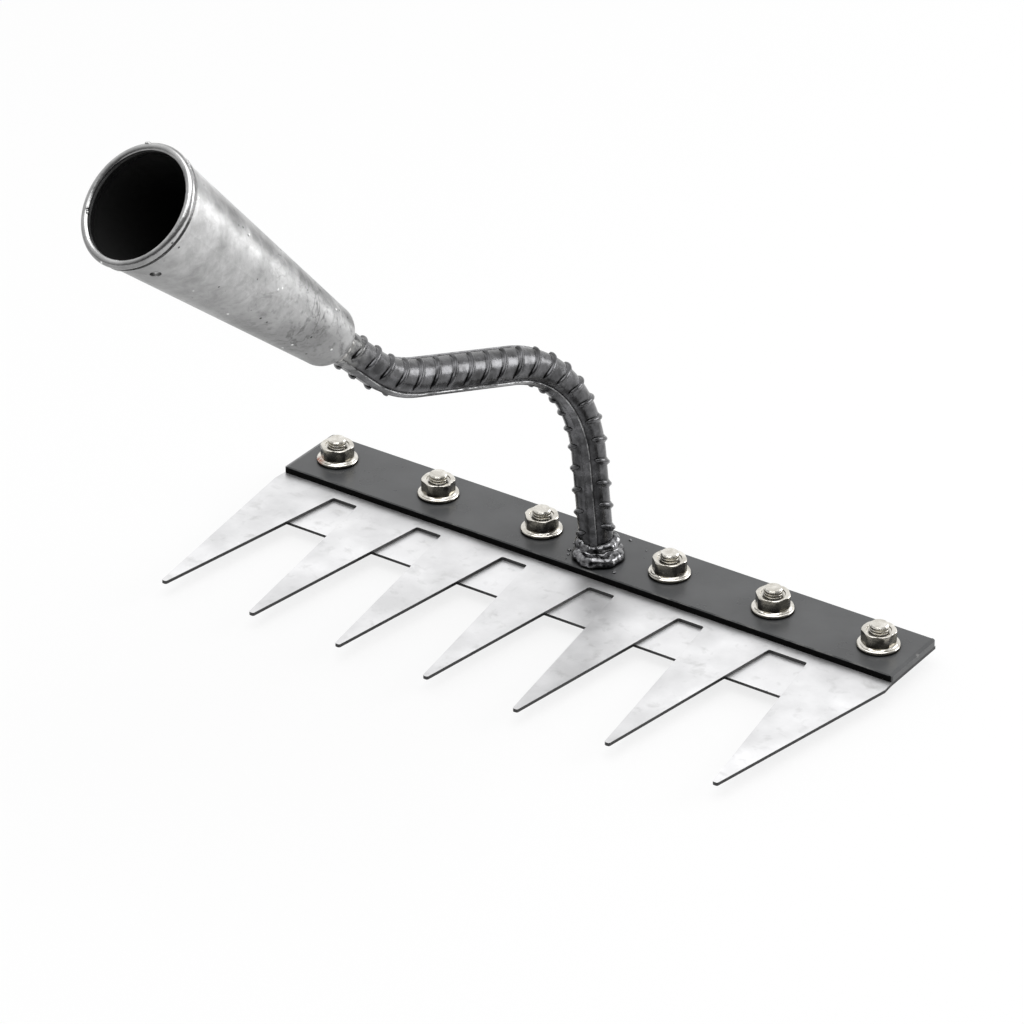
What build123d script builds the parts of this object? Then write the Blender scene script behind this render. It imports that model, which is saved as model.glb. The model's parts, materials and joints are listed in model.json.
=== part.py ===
from build123d import *
import math
import os

# Garden rake head: a toothed sheet-steel blade and its backing strip, bolted under a flat
# crossbar, with a gooseneck bent from ribbed reinforcing bar and a tapered handle socket.
# Millimetres. X runs along the crossbar, the teeth point to -Y, +Z is up.
# The model is built round the middle of the crossbar, then moved so that the row's origin
# is the centre of the socket's straight throat, where the handle goes in.

# Crossbar
bar_length = 240.0
bar_width = 27.4
bar_thickness = 2.5
bar_corner_radius = 0.8
bar_edge_break = 0.35
end_bevel_length = 1.3
end_bevel_drop = 0.5

# Toothed blade, cut from sheet. The teeth share the length between the end teeth evenly.
blade_thickness = 1.2
first_tooth_width = 24.2
last_tooth_width = 28.5
notch_count = 6
notch_width = 9.9
last_notch_width = 14.3
notch_root_ahead = 4.8
tooth_length = 75.6
tip_width = 1.8
tip_radius = 0.7
root_radius = 0.8
end_tip_shift = -1.3
blade_end_step = 0.4

# Backing strip, seen through the notches
strip_thickness = 1.0
strip_end_inset = 5.0
strip_front_ahead = 25.0
strip_corner_radius = 2.0

# Bolts and flange nuts, M6. Each side's bolts share the room from the neck to the bar's end.
bolts_each_side = 3
bolt_left_inner = 23.4
bolt_left_end = 12.4
bolt_right_inner = 27.2
bolt_right_end = 13.2
bolt_diameter = 6.0
bolt_hole_clearance = 0.2
thread_clearance = 0.03
bolt_end_proud = 1.3
bolt_end_chamfer = 0.7
head_across_flats = 10.0
head_height = 4.0
nut_across_flats = 10.0
nut_height = 6.0
nut_corner_drop = 0.6
nut_countersink = 0.8
flange_diameter = 14.2
flange_edge_height = 1.1
flange_rise = 1.1
nut_turns = (12.0, 38.0, 3.0, 22.0, 47.0, 9.0)

# Ribbed reinforcing bar of the gooseneck, nominal 12 mm with its usual 8 mm rib pitch
rod_core_diameter = 11.5
long_rib_height = 0.5
long_rib_width = 2.4
long_rib_turn = 38.0
cross_rib_height = 0.95
cross_rib_width = 2.8
cross_rib_root_depth = 0.5
cross_rib_reach = 0.45
cross_rib_slope = 30.0
cross_rib_pitch = 8.07
right_ribs_first = 9.3
left_ribs_first = 6.9

# Gooseneck path. A lean is measured from upright, a turn is seen from above and is
# counted from the teeth's direction towards the right.
foot_x = 0.0
foot_y = -1.7
foot_turn = -86.0
foot_lean = 5.7
foot_run = 36.2
lower_bend_radius = 48.5
neck_turn = -7.5
middle_lean = 73.0
middle_run = 46.6
upper_bend_radius = 47.2
socket_turn = -11.0
socket_lean = 46.3
upper_run = 21.5
rod_in_socket = 24.0
foot_trim = 3.0

# Handle socket, a tapered tube with a rolled rim
socket_length = 104.9
socket_mouth_radius = 19.2
socket_shoulder_radius = 10.1
socket_wall = 2.0
socket_dome_length = 5.4
socket_dome_fullness = 1.3
socket_end_hole_clearance = 0.15
socket_end_lip = 0.35
throat_start = 1.2
throat_length = 4.0
rim_bead_radius = 1.4
rim_bead_proud = 0.5
nail_hole_diameter = 3.5
nail_hole_depth_from_mouth = 10.4
nail_hole_turn = 53.0

# Weld beads, the foot's thicker towards the teeth and to the right
foot_weld_aside = 1.8
foot_weld_ahead = 2.3
foot_weld_radius = 9.3
foot_weld_lower_bead = 2.5
foot_weld_lower_height = 4.4
foot_weld_upper_leg = 1.7
foot_weld_upper_bead = 1.7
foot_weld_height = 6.0
weld_bead_flats = 3
socket_weld_length = 3.2
socket_weld_root_proud = 1.5
socket_weld_end_proud = 0.5

# Derived sizes
half_bar = bar_length / 2
bar_top = bar_thickness
rod_radius = rod_core_diameter / 2
long_rib_reach = math.hypot(rod_radius + long_rib_height, long_rib_width / 2)
root_y = -bar_width / 2 - notch_root_ahead
tip_y = root_y - tooth_length
strip_top = -blade_thickness
strip_bottom = strip_top - strip_thickness
bolt_tip = bar_top + nut_height + bolt_end_proud
neck_hole_radius = long_rib_reach + socket_end_hole_clearance
cut_margin = 1.0


def heading(turned, lean):
    """Direction at an angle from upright, tipped towards the teeth and then turned."""
    a = math.radians(turned)
    b = math.radians(lean)
    return Vector(math.sin(a) * math.sin(b), -math.cos(a) * math.sin(b), math.cos(b))


foot_way = heading(foot_turn, foot_lean)
middle_way = heading(neck_turn, middle_lean)
socket_way = heading(socket_turn, socket_lean)
sideways = heading(neck_turn + 90, 90)


def bolt_places():
    """Bolts share the room between the neck and each end of the bar."""
    gaps = bolts_each_side - 1
    left_pitch = (half_bar - bolt_left_end - bolt_left_inner) / gaps
    right_pitch = (half_bar - bolt_right_end - bolt_right_inner) / gaps
    left = [-(bolt_left_inner + left_pitch * n) for n in range(bolts_each_side)]
    right = [bolt_right_inner + right_pitch * n for n in range(bolts_each_side)]
    return sorted(left) + right


def upright_cylinder(radius, low, high):
    return Pos(0, 0, low) * Cylinder(radius, high - low, align=(Align.CENTER, Align.CENTER, Align.MIN))


def bolt_holes(low, high):
    """Plain round holes through every sheet that the bolts clamp."""
    radius = bolt_diameter / 2 + bolt_hole_clearance
    hole = upright_cylinder(radius, low - cut_margin, high + cut_margin)
    return [Pos(x, 0, 0) * hole for x in bolt_places()]


# Crossbar
def make_crossbar():
    bar = Pos(0, 0, bar_thickness / 2) * Box(bar_length, bar_width, bar_thickness)
    bar = fillet(bar.edges().filter_by(Axis.Z), bar_corner_radius)
    steepness = end_bevel_drop / end_bevel_length
    bevel_start = half_bar - end_bevel_length
    side = Plane.XZ * Polygon(
        (bevel_start, bar_top),
        (half_bar + cut_margin, bar_top - (end_bevel_length + cut_margin) * steepness),
        (half_bar + cut_margin, bar_top + cut_margin),
        (bevel_start, bar_top + cut_margin),
        align=None,
    )
    wedge = extrude(side, bar_width, both=True)
    bar = bar - wedge - mirror(wedge, Plane.YZ)
    top = bar.faces().sort_by(Axis.Z)[-1]
    bar = chamfer(top.edges().filter_by(Axis.X), bar_edge_break)
    return bar - bolt_holes(0, bar_top)


# Toothed blade
def notch_sides():
    spread = bar_length - first_tooth_width - last_tooth_width - last_notch_width
    pitch = spread / (notch_count - 1)
    lefts = [first_tooth_width - half_bar + pitch * n for n in range(notch_count)]
    widths = [notch_width] * (notch_count - 1) + [last_notch_width]
    return [(left, left + width) for left, width in zip(lefts, widths)]


def blade_outline():
    """One closed outline: straight back, then seven tapered teeth with blunt tips."""
    back = bar_width / 2
    notches = notch_sides()
    starts = [-half_bar - blade_end_step] + [right for left, right in notches]
    ends = [left for left, right in notches] + [half_bar + blade_end_step]
    points = [(-half_bar, back), (-half_bar, -back)]
    tips = []
    last = len(starts) - 1
    for n, (start, end) in enumerate(zip(starts, ends)):
        middle = (start + end) / 2 + (end_tip_shift if n in (0, last) else 0)
        tip = [(middle - tip_width / 2, tip_y), (middle + tip_width / 2, tip_y)]
        tips += tip
        points += [(start, root_y), *tip, (end, root_y)]
    points += [(half_bar, -back), (half_bar, back)]
    return points, tips, notches


def edges_at(solid, places):
    """The upright edges of a plate that stand at the given corners."""
    tolerance = 0.01
    found = []
    for edge in solid.edges().filter_by(Axis.Z):
        middle = edge.center()
        if any(math.dist((middle.X, middle.Y), place) < tolerance for place in places):
            found.append(edge)
    return found


def make_blade():
    points, tips, notches = blade_outline()
    blade = extrude(make_face(Polyline(*points, close=True)), -blade_thickness)
    blade = fillet(edges_at(blade, tips), tip_radius)
    roots = [(x, root_y) for pair in notches for x in pair]
    blade = fillet(edges_at(blade, roots), root_radius)
    return blade - bolt_holes(-blade_thickness, 0)


# Backing strip
def make_strip():
    back = bar_width / 2
    front = -back - strip_front_ahead
    length = bar_length - strip_end_inset * 2
    plate = Box(length, back - front, strip_thickness)
    strip = Pos(0, (back + front) / 2, strip_top - strip_thickness / 2) * plate
    strip = fillet(strip.edges().filter_by(Axis.Z), strip_corner_radius)
    return strip - bolt_holes(strip_bottom, strip_top)


# Bolts and nuts
def hexagon(across_flats, height):
    sketch = RegularPolygon(across_flats / 2, 6, major_radius=False)
    return extrude(sketch, height)


def make_bolt():
    head = Pos(0, 0, strip_bottom - head_height) * hexagon(head_across_flats, head_height)
    shank = upright_cylinder(bolt_diameter / 2, strip_bottom, bolt_tip)
    shank = chamfer(shank.edges().sort_by(Axis.Z)[-1], bolt_end_chamfer)
    return head + shank


def crown_blank():
    """Turned blank that takes the top corners off the nut's hexagon."""
    corner = nut_across_flats / math.sqrt(3)
    outline = Polygon(
        (0, 0), (corner, 0), (corner, nut_height - nut_corner_drop),
        (nut_across_flats / 2, nut_height), (0, nut_height), align=None,
    )
    return revolve(Plane.XZ * outline, Axis.Z)


def make_nut():
    """Hexagon nut with a sloping flange and a countersink round the thread."""
    outer = flange_diameter / 2
    skirt_top = flange_edge_height + flange_rise
    skirt = Polygon(
        (0, 0), (outer, 0), (outer, flange_edge_height), (nut_across_flats / 2, skirt_top),
        (0, skirt_top), align=None,
    )
    flange = revolve(Plane.XZ * skirt, Axis.Z)
    crown = hexagon(nut_across_flats, nut_height) & crown_blank()
    bore_radius = bolt_diameter / 2 + thread_clearance
    sink_radius = bore_radius + nut_countersink
    above = nut_height + cut_margin
    sink = Polygon(
        (0, -cut_margin), (bore_radius, -cut_margin), (bore_radius, nut_height - nut_countersink),
        (sink_radius, nut_height), (sink_radius, above), (0, above), align=None,
    )
    return flange + crown - revolve(Plane.XZ * sink, Axis.Z)


# Gooseneck
def bend(start, way, next_way, radius):
    """Arc that leaves one straight run and meets the next one, tangent to both."""
    plane = Plane(origin=start, x_dir=way, z_dir=way.cross(next_way))
    return plane * JernArc((0, 0), (1, 0), radius, way.get_angle(next_way))


def neck_path():
    """Three straight runs joined by two bends: the runs in order, and where the socket starts."""
    foot = Vector(foot_x, foot_y, bar_top)
    run_1 = Line(foot - foot_way * foot_trim, foot + foot_way * foot_run)
    bend_1 = bend(run_1 @ 1, foot_way, middle_way, lower_bend_radius)
    run_2 = Line(bend_1 @ 1, bend_1 @ 1 + middle_way * middle_run)
    bend_2 = bend(run_2 @ 1, middle_way, socket_way, upper_bend_radius)
    socket_start = bend_2 @ 1 + socket_way * upper_run
    run_3 = Line(bend_2 @ 1, socket_start + socket_way * rod_in_socket)
    return [run_1, bend_1, run_2, bend_2, run_3], socket_start


def carried(direction, way, next_way):
    """A mark on the rod's side after the rod is bent from one way to the next."""
    angle = way.get_angle(next_way)
    if angle == 0:
        return direction
    return direction.rotate(Axis((0, 0, 0), way.cross(next_way)), angle)


def long_rib_middle():
    """Where the long rib faces on the middle run, turned from the inside of the lower bend."""
    inward = sideways.cross(middle_way)
    angle = math.radians(long_rib_turn)
    return inward * math.cos(angle) + sideways * math.sin(angle)


def rod_section():
    """Round core with a flat long rib on each side."""
    return Circle(rod_radius) + Rectangle((rod_radius + long_rib_height) * 2, long_rib_width)


def cross_rib_disc():
    """One crescent rib is a ridged disc, tilted and set off-centre in the round core."""
    ridge = rod_radius + cross_rib_reach
    root = rod_radius - cross_rib_root_depth
    foot = cross_rib_width / 2
    profile = Polygon((0, -foot), (root, -foot), (ridge, 0), (root, foot), (0, foot), align=None)
    return revolve(Plane.XZ * profile, Axis.Z)


def cross_ribs(path, bend_1_end, ribbed_length):
    """Two rows of crescents, one on each side of the long ribs, sloping like a fishbone."""
    disc = cross_rib_disc()
    offset = cross_rib_height - cross_rib_reach
    slope = math.radians(cross_rib_slope)
    rib_on_foot = carried(long_rib_middle(), middle_way, foot_way)
    ribs = []
    for side, first in ((1, right_ribs_first), (-1, left_ribs_first)):
        count = int((ribbed_length - first) / cross_rib_pitch) + 1
        for n in range(count):
            along = foot_trim + first + cross_rib_pitch * n
            centre = path.position_at(along, position_mode=PositionMode.LENGTH)
            tangent = path.tangent_at(along, position_mode=PositionMode.LENGTH)
            if along < bend_1_end:
                long_rib = carried(rib_on_foot, foot_way, tangent)
            else:
                long_rib = carried(long_rib_middle(), middle_way, tangent)
            outward = tangent.cross(long_rib) * side
            normal = tangent * math.cos(slope) - long_rib * math.sin(slope)
            place = Plane(origin=centre + outward * offset, x_dir=outward, z_dir=normal)
            ribs.append(place.location * disc)
    return ribs


def make_gooseneck(runs, socket_start):
    path = Wire(runs)
    start = path @ 0
    rib_on_foot = carried(long_rib_middle(), middle_way, foot_way)
    section = Plane(origin=start, x_dir=rib_on_foot, z_dir=foot_way) * rod_section()
    rod = sweep(section, path=path)
    bend_1_end = runs[0].length + runs[1].length
    ribbed_length = path.length - foot_trim - rod_in_socket
    ribs = cross_ribs(path, bend_1_end, ribbed_length)
    weld_end = Plane(origin=socket_start - socket_way * socket_weld_length, z_dir=socket_way)
    inside = weld_end * upright_cylinder(socket_mouth_radius, 0, socket_length)
    rod = rod.fuse(*[rib - inside if near_end(rib, socket_start) else rib for rib in ribs])
    below = Box(bar_length, bar_length, bar_length, align=(Align.CENTER, Align.CENTER, Align.MAX))
    return rod - Pos(0, 0, bar_top) * below


def near_end(rib, socket_start):
    return (rib.center() - socket_start).length < cross_rib_pitch


# Handle socket, drawn as a half section: radius across, depth from the mouth up
def make_socket(socket_plane):
    shoulder = socket_length - socket_dome_length
    throat_end = throat_start + throat_length
    throat = socket_mouth_radius - socket_wall
    lip = neck_hole_radius + socket_end_lip
    taper = (socket_mouth_radius - socket_shoulder_radius) / shoulder
    start_radius = socket_mouth_radius - taper * throat_start
    dome_middle = (
        (lip + socket_shoulder_radius) / 2 + socket_dome_fullness / 2,
        socket_length - socket_dome_length / 2 + socket_dome_fullness / 2,
    )
    corners = [
        (socket_shoulder_radius, shoulder), (start_radius, throat_start), (throat, throat_start),
        (throat, throat_end), (socket_shoulder_radius - socket_wall, shoulder),
        (neck_hole_radius, socket_length - socket_wall), (neck_hole_radius, socket_length),
        (lip, socket_length),
    ]
    dome = ThreePointArc(corners[-1], dome_middle, corners[0])
    wall = make_face([*Polyline(*corners).edges(), dome])
    tube = revolve(Plane.XZ * wall, Axis.Z)
    bead_centre = socket_mouth_radius + rim_bead_proud - rim_bead_radius
    bead = revolve(Plane.XZ * Pos(bead_centre, rim_bead_radius) * Circle(rim_bead_radius), Axis.Z)
    tube = tube + (bead - upright_cylinder(throat, 0, throat_end))
    angle = math.radians(nail_hole_turn)
    out = Vector(math.cos(angle), math.sin(angle), 0)
    drill_plane = Plane(origin=(0, 0, nail_hole_depth_from_mouth), z_dir=out)
    drill = drill_plane * upright_cylinder(nail_hole_diameter / 2, 0, socket_mouth_radius * 2)
    return socket_plane.location * (tube - drill)


# Weld beads
def weld_disc(radius, bead, height):
    """Round slug of weld, flat on the plate, whose edge is rounded by a few flats."""
    edge = []
    for n in range(weld_bead_flats + 1):
        angle = math.pi / 2 * n / weld_bead_flats
        edge.append((radius - bead + bead * math.cos(angle), height - bead + bead * math.sin(angle)))
    return revolve(Plane.XZ * Polygon((0, 0), (radius, 0), *edge, (0, height), align=None), Axis.Z)


def make_foot_weld(gooseneck):
    """Two runs of weld, one on the other, round the foot of the rod."""
    lower = weld_disc(foot_weld_radius, foot_weld_lower_bead, foot_weld_lower_height)
    upper = weld_disc(rod_radius + foot_weld_upper_leg, foot_weld_upper_bead, foot_weld_height)
    x = foot_x + foot_weld_aside
    bead = Pos(x, foot_y - foot_weld_ahead, bar_top) * lower + Pos(foot_x, foot_y, bar_top) * upper
    return bead - gooseneck


def make_socket_weld(socket_plane, gooseneck):
    """Short cone of weld between the socket's end and the rod."""
    band = Polygon(
        (0, socket_length), (rod_radius + socket_weld_root_proud, socket_length),
        (rod_radius + socket_weld_end_proud, socket_length + socket_weld_length),
        (0, socket_length + socket_weld_length), align=None,
    )
    return socket_plane.location * revolve(Plane.XZ * band, Axis.Z) - gooseneck


def build_nodes():
    runs, socket_start = neck_path()
    mouth = socket_start + socket_way * socket_length
    across = heading(socket_turn + 90, 90)
    socket_plane = Plane(origin=mouth, x_dir=across, z_dir=socket_way * -1)
    throat_centre = mouth - socket_way * (throat_start + throat_length / 2)
    gooseneck = make_gooseneck(runs, socket_start)
    made = {
        "crossbar": make_crossbar(),
        "tooth_blade": make_blade(),
        "backing_strip": make_strip(),
        "gooseneck": gooseneck,
        "foot_weld": make_foot_weld(gooseneck),
        "handle_socket": make_socket(socket_plane),
        "socket_weld": make_socket_weld(socket_plane, gooseneck),
    }
    bolt = make_bolt()
    nut = make_nut()
    for n, (x, nut_turn) in enumerate(zip(bolt_places(), nut_turns), start=1):
        made[f"bolt_{n}"] = Pos(x, 0, 0) * bolt
        made[f"flange_nut_{n}"] = Pos(x, 0, bar_top) * Rot(0, 0, nut_turn) * nut
    return made, throat_centre


os.makedirs("parts", exist_ok=True)
nodes, throat_centre = build_nodes()
to_origin = Location(throat_centre * -1)
for name, solid in nodes.items():
    export_step(to_origin * solid, f"parts/{name}.step")
    print(f"{name}: {solid.volume / 1000:.2f} cm3")
print("bar middle at", to_origin.position, "handle leaves along", socket_way)
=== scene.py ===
# %% [markdown]
# # A garden rake head
# A toothed sheet-steel blade is bolted with a backing strip under a flat black bar. A
# gooseneck bent from ribbed reinforcing bar rises from the bar to a tapered handle socket.
# The CAD model gives every shape its true size and place. This lesson adds the finishes, the
# small shapes that are too fine for CAD, the light and the camera.

# %% Load the CAD model
import json
import math
import random

import bmesh
import bpy
from mathutils import Matrix, Vector


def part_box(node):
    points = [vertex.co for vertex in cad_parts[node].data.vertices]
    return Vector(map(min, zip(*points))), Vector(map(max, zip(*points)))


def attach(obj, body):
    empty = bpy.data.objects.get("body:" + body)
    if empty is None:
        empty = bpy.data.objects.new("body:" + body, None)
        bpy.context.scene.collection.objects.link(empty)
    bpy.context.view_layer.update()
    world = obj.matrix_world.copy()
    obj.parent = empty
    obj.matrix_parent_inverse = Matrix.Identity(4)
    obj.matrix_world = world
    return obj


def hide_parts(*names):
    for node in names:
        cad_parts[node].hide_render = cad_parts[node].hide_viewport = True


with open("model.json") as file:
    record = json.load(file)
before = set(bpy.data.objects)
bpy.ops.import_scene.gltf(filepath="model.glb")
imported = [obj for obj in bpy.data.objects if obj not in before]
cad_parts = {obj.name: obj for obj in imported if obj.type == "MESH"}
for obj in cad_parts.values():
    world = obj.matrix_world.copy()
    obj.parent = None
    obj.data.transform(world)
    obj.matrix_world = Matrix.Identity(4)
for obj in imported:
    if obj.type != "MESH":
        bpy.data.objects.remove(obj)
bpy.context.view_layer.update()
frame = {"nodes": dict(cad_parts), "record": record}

nodes = frame["nodes"]
print("CAD nodes:", len(nodes))

# %% [markdown]
# Every place below is counted from the crossbar or from the socket's own axis. The bar's foot
# is the plane where the bar lies on the blade. The record gives the socket's throat, which is
# the straight stretch behind its rim, and the way that it points.

# %% Measures taken from the CAD model
MM = 0.001
bar_low, bar_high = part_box("crossbar")
bar_foot = Vector(((bar_low.x + bar_high.x) / 2, (bar_low.y + bar_high.y) / 2, bar_low.z))
bar_thickness = (bar_high.z - bar_low.z) / MM
ground = min(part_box(name)[0].z for name in nodes)
mounts = {mount["name"]: mount for mount in frame["record"]["mounts"]}


def from_bar(x, y, z):
    """A place given in millimetres from the middle of the bar's foot."""
    return bar_foot + Vector((x, y, z)) * MM


def middle(name):
    """The middle of a CAD node."""
    low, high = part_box(name)
    return (low + high) / 2


throat = mounts["handle_socket"]
handle_way = Vector(throat["axis"]).normalized()
throat_radius = throat["dims"]["r_mm"] * MM
throat_to_mouth = 3.2 * MM
mouth = Vector(throat["pos_m"]) + handle_way * throat_to_mouth
socket_end = middle("socket_weld")
socket_wall = 2.0 * MM
socket_taper = 0.0915
print("bar foot at", [round(value, 4) for value in bar_foot])
print("socket's mouth at", [round(value, 4) for value in mouth])

# %% [markdown]
# The camera is a long lens far away, as in product photographs, so the bar's far end looks
# nearly as large as its near end. Its place was worked out from the bar's four corners and
# the tips of the teeth.

# %% Camera
camera_azimuth = 34.481
camera_elevation = 29.892
camera_distance = 1.6565
camera_lens = 173.36
aim = from_bar(-40.71, 7.72, 0)


def towards(azimuth, elevation):
    """Way to a point that stands at an azimuth and a height, both in degrees."""
    a, e = math.radians(azimuth), math.radians(elevation)
    return Vector((math.sin(a) * math.cos(e), -math.cos(a) * math.cos(e), math.sin(e)))


def look_at_rake(name, data, azimuth, elevation, distance):
    """Set up a camera or a lamp that looks at the rake head from a distance in metres."""
    holder = bpy.data.objects.new(name, data)
    bpy.context.scene.collection.objects.link(holder)
    back = towards(azimuth, elevation)
    holder.location = aim + back * distance
    holder.rotation_mode = "QUATERNION"
    holder.rotation_quaternion = (-back).to_track_quat("-Z", "Y")
    return holder


optics = bpy.data.cameras.new("camera")
optics.lens = camera_lens
optics.clip_start = 0.05
optics.clip_end = 20
camera = look_at_rake("camera", optics, camera_azimuth, camera_elevation, camera_distance)
bpy.context.scene.camera = camera
print("camera at", [round(value, 4) for value in camera.location])

# %% [markdown]
# Colours are written as people read them off a screen, in sRGB hex. Blender's shaders work
# with linear light, so one function turns one into the other. Another adds a node to any
# tree, with its settings and its links, and serves materials and Geometry Nodes alike.

# %% Colour and node helpers
def linear(hex_colour):
    """sRGB hex such as '6e6e6e' as the linear colour that a shader expects."""
    channels = [int(hex_colour[n:n + 2], 16) / 255 for n in (0, 2, 4)]
    return [c / 12.92 if c <= 0.04045 else ((c + 0.055) / 1.055) ** 2.4 for c in channels] + [1.0]


def fill(tree, node, values):
    """Fill a node's inputs, by name or in order. A hex text becomes a colour, and another
    node, or a socket of one, is linked."""
    for socket, value in values.items() if isinstance(values, dict) else enumerate(values):
        if isinstance(value, bpy.types.Node):
            value = next(output for output in value.outputs if output.enabled)
        if isinstance(value, bpy.types.NodeSocket):
            tree.links.new(value, node.inputs[socket])
        else:
            node.inputs[socket].default_value = linear(value) if isinstance(value, str) else value


def add(tree, kind, values=(), **settings):
    """Add a node with its settings, and fill its inputs."""
    made = tree.nodes.new(kind)
    for name, setting in settings.items():
        setattr(made, name, setting)
    fill(tree, made, values)
    return made


def per(size_mm):
    """Pattern scale whose features are about this many millimetres across."""
    return 1 / (size_mm * MM)


# %% [markdown]
# Each finish starts from one metal or paint shader. A real surface is never one even grey, so
# the patterns here give masks, which run from 0 to 1. A Map Range node stretches the useful
# part of a noise to that: its five values are the noise, two limits of it, and two results.
# All patterns follow Object coordinates, so they stay put whatever the camera does.

# %% Start of every finish, and patterns
def start_finish(name, metallic, roughness):
    """A new material: itself, its tree, its shader and the coordinates for patterns."""
    material = bpy.data.materials.new(name)
    material.use_nodes = True
    tree = material.node_tree
    shader = tree.nodes["Principled BSDF"]
    fill(tree, shader, {"Metallic": metallic, "Roughness": roughness})
    return material, tree, shader, add(tree, "ShaderNodeTexCoord").outputs["Object"]


def clouds(tree, place, size_mm, detail=4.0, low=0.35, high=0.65, roughness=0.55, swirl=0.0):
    """Soft random patches."""
    noise = add(tree, "ShaderNodeTexNoise", {
        "Vector": place, "Scale": per(size_mm), "Detail": detail, "Roughness": roughness,
        "Distortion": swirl})
    return add(tree, "ShaderNodeMapRange", [noise, low, high])


def dots(tree, place, spacing_mm, radius_mm, share):
    """Small round specks, 1 at their centre. Share is how many of the places have one."""
    cells = add(tree, "ShaderNodeTexVoronoi", {"Vector": place, "Scale": per(spacing_mm)})
    reach = radius_mm / spacing_mm
    near = add(tree, "ShaderNodeMapRange", [cells, reach * 0.5, reach, 1.0, 0.0])
    lottery = add(tree, "ShaderNodeSeparateColor", [cells.outputs["Color"]])
    drawn = add(tree, "ShaderNodeMapRange", [lottery, share - 0.01, share, 1.0, 0.0])
    return add(tree, "ShaderNodeMath", [near, drawn], operation="MULTIPLY")


# %% [markdown]
# Three more masks find the faces that look one way, the neighbourhood of one place, and the
# corners. Ambient occlusion is dark wherever a surface is shut in by its neighbours, and the
# finishes below use it to paint shade into corners and grooves.

# %% Masks
def facing(tree, direction, low, high):
    """1 where the surface looks along a direction, 0 where it looks elsewhere. Low above
    high turns the two round."""
    normal = add(tree, "ShaderNodeTexCoord").outputs["Normal"]
    way = Vector(direction).normalized()
    along = add(tree, "ShaderNodeVectorMath", [normal, way], operation="DOT_PRODUCT")
    return add(tree, "ShaderNodeMapRange", [along, low, high])


def near_place(tree, place, centre, inner_mm, outer_mm):
    """1 within a ball round one place, fading to 0."""
    far = add(tree, "ShaderNodeVectorMath", [place, centre], operation="DISTANCE")
    return add(tree, "ShaderNodeMapRange", [far, inner_mm * MM, outer_mm * MM, 1.0, 0.0])


def corner_shade(tree, reach_mm, low=0.5, high=0.9):
    """1 deep in corners and grooves, 0 on open faces. Coats use it as painted shade."""
    shut_in = add(tree, "ShaderNodeAmbientOcclusion", {"Distance": reach_mm * MM}, samples=8)
    return add(tree, "ShaderNodeMapRange", [shut_in.outputs["AO"], low, high, 1.0, 0.0])


# %% [markdown]
# A finish is built up in coats, as a painter would: a base tone, then clouds, stains, wear and
# painted shade over it, each only where its masks allow. Fine relief goes into the shader as a
# bump with its real depth.

# %% Coats and relief
def coats(tree, tone, *layers):
    """Lay coats over a tone. Each has its masks, how strongly it covers, and its colour, and
    shows only where all its masks are 1."""
    for masks, cover, colour in layers:
        for mask in masks:
            cover = add(tree, "ShaderNodeMath", [mask, cover], operation="MULTIPLY")
        tone = add(tree, "ShaderNodeMix", {0: cover, 6: tone, 7: colour}, data_type="RGBA")
    return tone


def bump_up(tree, shader, height, depth_mm, edge_mm=0.0):
    """Raise the surface by a pattern with its real depth, and soften sharp edges."""
    bump = add(tree, "ShaderNodeBump", {"Height": height, "Distance": depth_mm * MM})
    if edge_mm:
        soft = add(tree, "ShaderNodeBevel", {"Radius": edge_mm * MM}, samples=4)
        fill(tree, bump, {"Normal": soft})
    fill(tree, shader, {"Normal": bump})


def dress(material, *names):
    """Give CAD nodes their finish."""
    for name in names:
        nodes[name].data.materials.clear()
        nodes[name].data.materials.append(material)


# %% [markdown]
# The crossbar is hot-rolled flat steel with a sprayed satin black paint. Paint is not a
# metal: it mirrors only a few hundredths of the light, more where one looks along it, and
# that faint mirror gives the bar its even grey top. The front face alone is drawn as rough,
# dark metal, and its near-black tone is painted shade. Painted shade also darkens the paint
# along the nuts and the weld, and the paint is rubbed thin along the broken top edge.

# %% Satin black paint
paint, tree, shader, place = start_finish("satin_black_paint", 0.0, 0.3)
patches = clouds(tree, place, 16)
# The front face: drawn as rough metal, and its near-black tone is painted shade.
front_face = facing(tree, (0, -1, 0), 0.8, 0.95)
top_edge = facing(tree, (0, -1, 1), 0.93, 0.99)
chipped_corner = near_place(tree, place, from_bar(119.87, 2.5, 2.0), 0.4, 0.8)
rubbed = clouds(tree, place, 7, low=0.5, high=0.64)
worn = add(tree, "ShaderNodeMath", [top_edge, rubbed], operation="MULTIPLY")
worn = add(tree, "ShaderNodeMath", [worn, chipped_corner], operation="MAXIMUM")
# The near-black front and the darkening along the nuts and the weld are painted shade.
tone = coats(tree, "434445",
             ([patches], 1, "4d4e4f"),
             ([front_face], 1, "141414"),
             ([corner_shade(tree, 1.5, 0.45, 0.85)], 1, "0c0c0c"),
             ([worn], 1, "6e6e6d"))
satin = add(tree, "ShaderNodeMapRange", [patches, 0, 1, 0.26, 0.34])
rougher_by = 0.45
roughness = add(tree, "ShaderNodeMath", [front_face, rougher_by, satin], operation="MULTIPLY_ADD")
fill(tree, shader, {"Base Color": tone, "Metallic": front_face, "Roughness": roughness})
bump_up(tree, shader, clouds(tree, place, 1.1, detail=2), 0.004)
dress(paint, "crossbar")
print("finish:", paint.name)
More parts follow.
